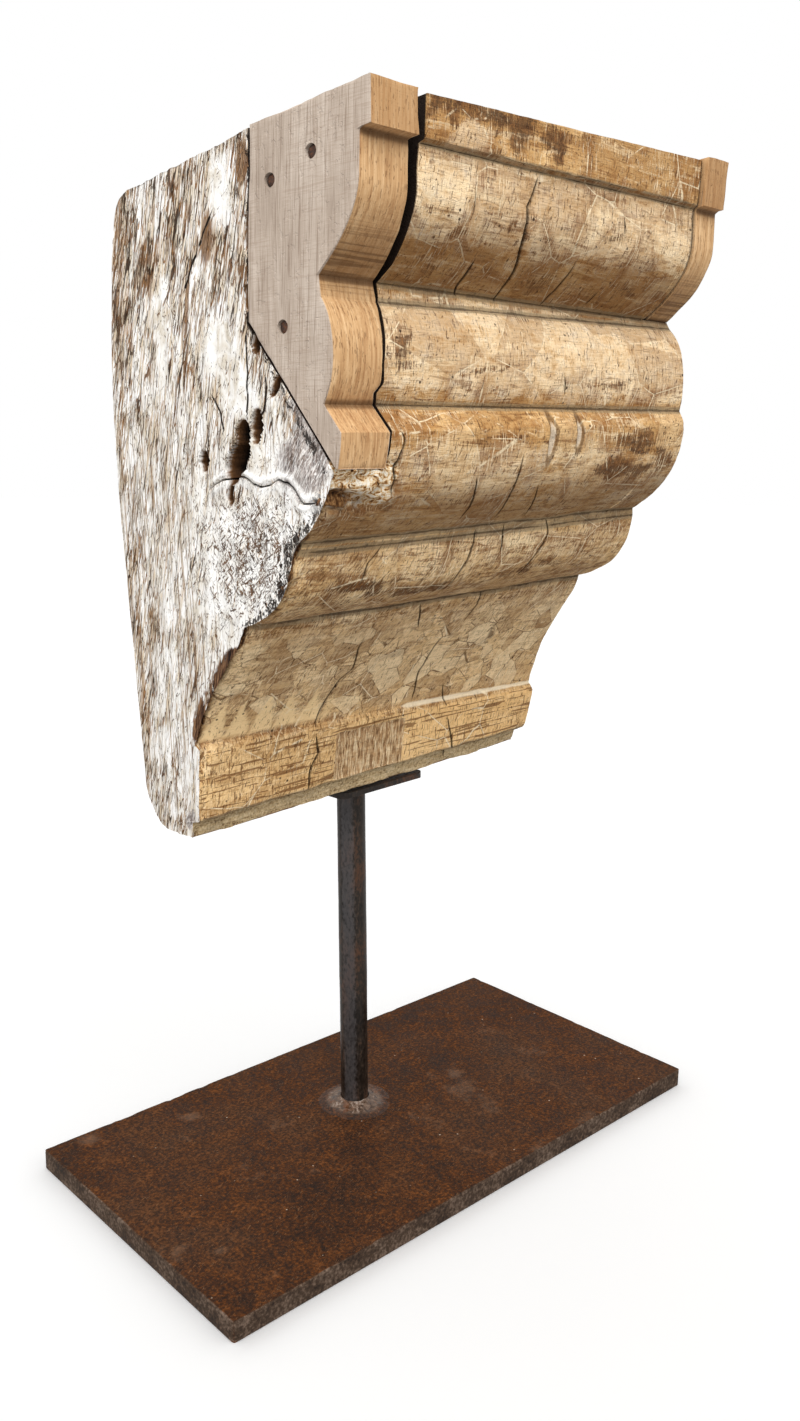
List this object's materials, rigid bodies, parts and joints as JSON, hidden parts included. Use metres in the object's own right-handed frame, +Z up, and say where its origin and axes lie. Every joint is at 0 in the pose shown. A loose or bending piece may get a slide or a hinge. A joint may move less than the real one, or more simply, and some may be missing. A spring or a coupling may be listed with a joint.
{
  "type": "carved timber corbel on stand",
  "caption": "Old carved timber corbel with stepped mouldings and nailed end boards, carried on a steel rod and flat base plate as a display piece.",
  "frame": {"origin": "centre of the base plate's underside", "axes": "+Z up; +X along the base plate's long side, towards the corbel's right end; the carved front faces -Y"},
  "size_m": [0.32, 0.2168, 0.4939],
  "materials": {
    "rusted_plate": "rusted brown, waxed",
    "weld_steel": "grey-brown weld, partly bright",
    "dark_steel": "blackened steel with brown rust",
    "painted_timber": "old carved softwood with worn cream limewash and brown stains",
    "planed_timber": "planed, greyed",
    "fresh_timber": "sawn, orange-tan",
    "nail_iron": "rusted"
  },
  "bodies": {
    "root": {"base_plate": "rusted_plate", "weld_bead": "weld_steel", "rod": "dark_steel", "seat_plate": "dark_steel", "corbel_block": "painted_timber", "left_end_board": "planed_timber", "right_end_board": "fresh_timber", "nail_1": "nail_iron", "nail_2": "nail_iron", "nail_3": "nail_iron"}
  },
  "joints": []
}
